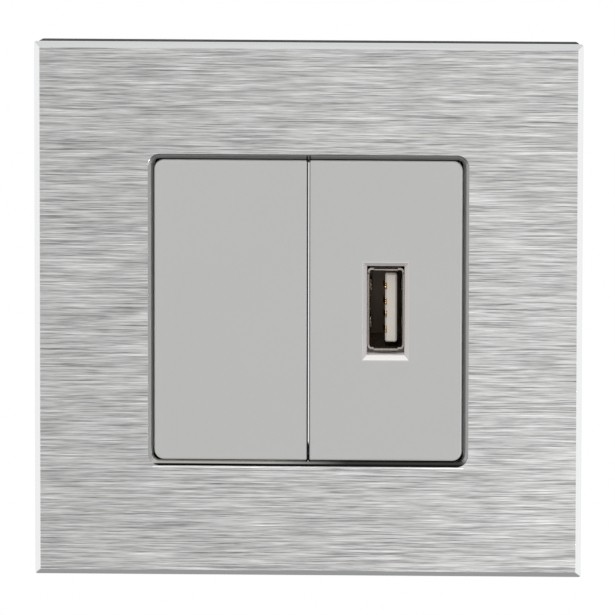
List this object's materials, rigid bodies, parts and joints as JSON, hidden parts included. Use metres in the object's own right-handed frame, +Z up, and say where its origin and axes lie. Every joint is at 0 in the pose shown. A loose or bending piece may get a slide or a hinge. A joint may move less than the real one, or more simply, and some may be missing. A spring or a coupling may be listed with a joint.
{
  "type": "usb data socket wall plate",
  "caption": "Square brushed-metal wall plate holding a blank half insert and a half-width data socket with rear screw terminals.",
  "frame": {"origin": "centre of the plate on the wall's surface, midway between the two fixing screw slots", "axes": "+X to the right as the room sees the plate, +Z up, +Y into the wall"},
  "size_m": [0.086, 0.0298, 0.086],
  "materials": {
    "brushed_aluminium": "fine horizontal brushing on the face, polished bevels",
    "carrier_plastic": "fine matte",
    "zinc_steel": "bright zinc plating on pressed steel",
    "module_plastic": "satin, light warm grey",
    "housing_plastic": "fine matte",
    "shell_nickel": "dull nickel plating",
    "insulator_plastic": "cream moulding",
    "contact_gold": "gold flash",
    "board_laminate": "green solder resist",
    "terminal_plastic": "satin green moulding",
    "zinc_screw": "bright zinc plating",
    "cage_steel": "zinc plating",
    "tinned_brass": "dull tin plating"
  },
  "bodies": {
    "wall_unit": {"trim_plate": "brushed_aluminium", "trim_carrier": "carrier_plastic", "mounting_bracket": "zinc_steel", "blank_insert": "module_plastic", "usb_face_cap": "module_plastic", "usb_module_housing": "housing_plastic", "usb_rear_cover": "housing_plastic", "receptacle_shell": "shell_nickel", "receptacle_insulator": "insulator_plastic", "receptacle_contact_1": "contact_gold", "receptacle_contact_2": "contact_gold", "receptacle_contact_3": "contact_gold", "receptacle_contact_4": "contact_gold", "circuit_board": "board_laminate", "terminal_housing": "terminal_plastic", "terminal_bar_1": "tinned_brass", "terminal_bar_2": "tinned_brass", "terminal_bar_3": "tinned_brass", "terminal_bar_4": "tinned_brass", "cover_screw_1": "zinc_screw", "cover_screw_2": "zinc_screw"},
    "clamp_screw_1": {"terminal_screw_1": "zinc_screw"},
    "clamp_cage_1": {"terminal_cage_1": "cage_steel"},
    "clamp_screw_2": {"terminal_screw_2": "zinc_screw"},
    "clamp_cage_2": {"terminal_cage_2": "cage_steel"},
    "clamp_screw_3": {"terminal_screw_3": "zinc_screw"},
    "clamp_cage_3": {"terminal_cage_3": "cage_steel"},
    "clamp_screw_4": {"terminal_screw_4": "zinc_screw"},
    "clamp_cage_4": {"terminal_cage_4": "cage_steel"}
  },
  "joints": [
    {"name": "clamp_screw_turn_1", "type": "hinge", "parent": "wall_unit", "child": "clamp_screw_1", "pos_m": [0.00464, 0.0226, -0.01435], "axis": [0, -1, 0], "range_deg": [0, 1600]},
    {"name": "clamp_cage_rise_1", "type": "slide", "parent": "wall_unit", "child": "clamp_cage_1", "axis": [0, 1, 0], "range_m": [0, 0.002]},
    {"name": "clamp_screw_turn_2", "type": "hinge", "parent": "wall_unit", "child": "clamp_screw_2", "pos_m": [0.00964, 0.0226, -0.01435], "axis": [0, -1, 0], "range_deg": [0, 1600]},
    {"name": "clamp_cage_rise_2", "type": "slide", "parent": "wall_unit", "child": "clamp_cage_2", "axis": [0, 1, 0], "range_m": [0, 0.002]},
    {"name": "clamp_screw_turn_3", "type": "hinge", "parent": "wall_unit", "child": "clamp_screw_3", "pos_m": [0.01464, 0.0226, -0.01435], "axis": [0, -1, 0], "range_deg": [0, 1600]},
    {"name": "clamp_cage_rise_3", "type": "slide", "parent": "wall_unit", "child": "clamp_cage_3", "axis": [0, 1, 0], "range_m": [0, 0.002]},
    {"name": "clamp_screw_turn_4", "type": "hinge", "parent": "wall_unit", "child": "clamp_screw_4", "pos_m": [0.01964, 0.0226, -0.01435], "axis": [0, -1, 0], "range_deg": [0, 1600]},
    {"name": "clamp_cage_rise_4", "type": "slide", "parent": "wall_unit", "child": "clamp_cage_4", "axis": [0, 1, 0], "range_m": [0, 0.002]}
  ],
  "couplings": [
    {"joint": "clamp_screw_turn_1", "follows": "clamp_cage_rise_1", "rad_per_m": 13963},
    {"joint": "clamp_screw_turn_2", "follows": "clamp_cage_rise_2", "rad_per_m": 13963},
    {"joint": "clamp_screw_turn_3", "follows": "clamp_cage_rise_3", "rad_per_m": 13963},
    {"joint": "clamp_screw_turn_4", "follows": "clamp_cage_rise_4", "rad_per_m": 13963}
  ]
}
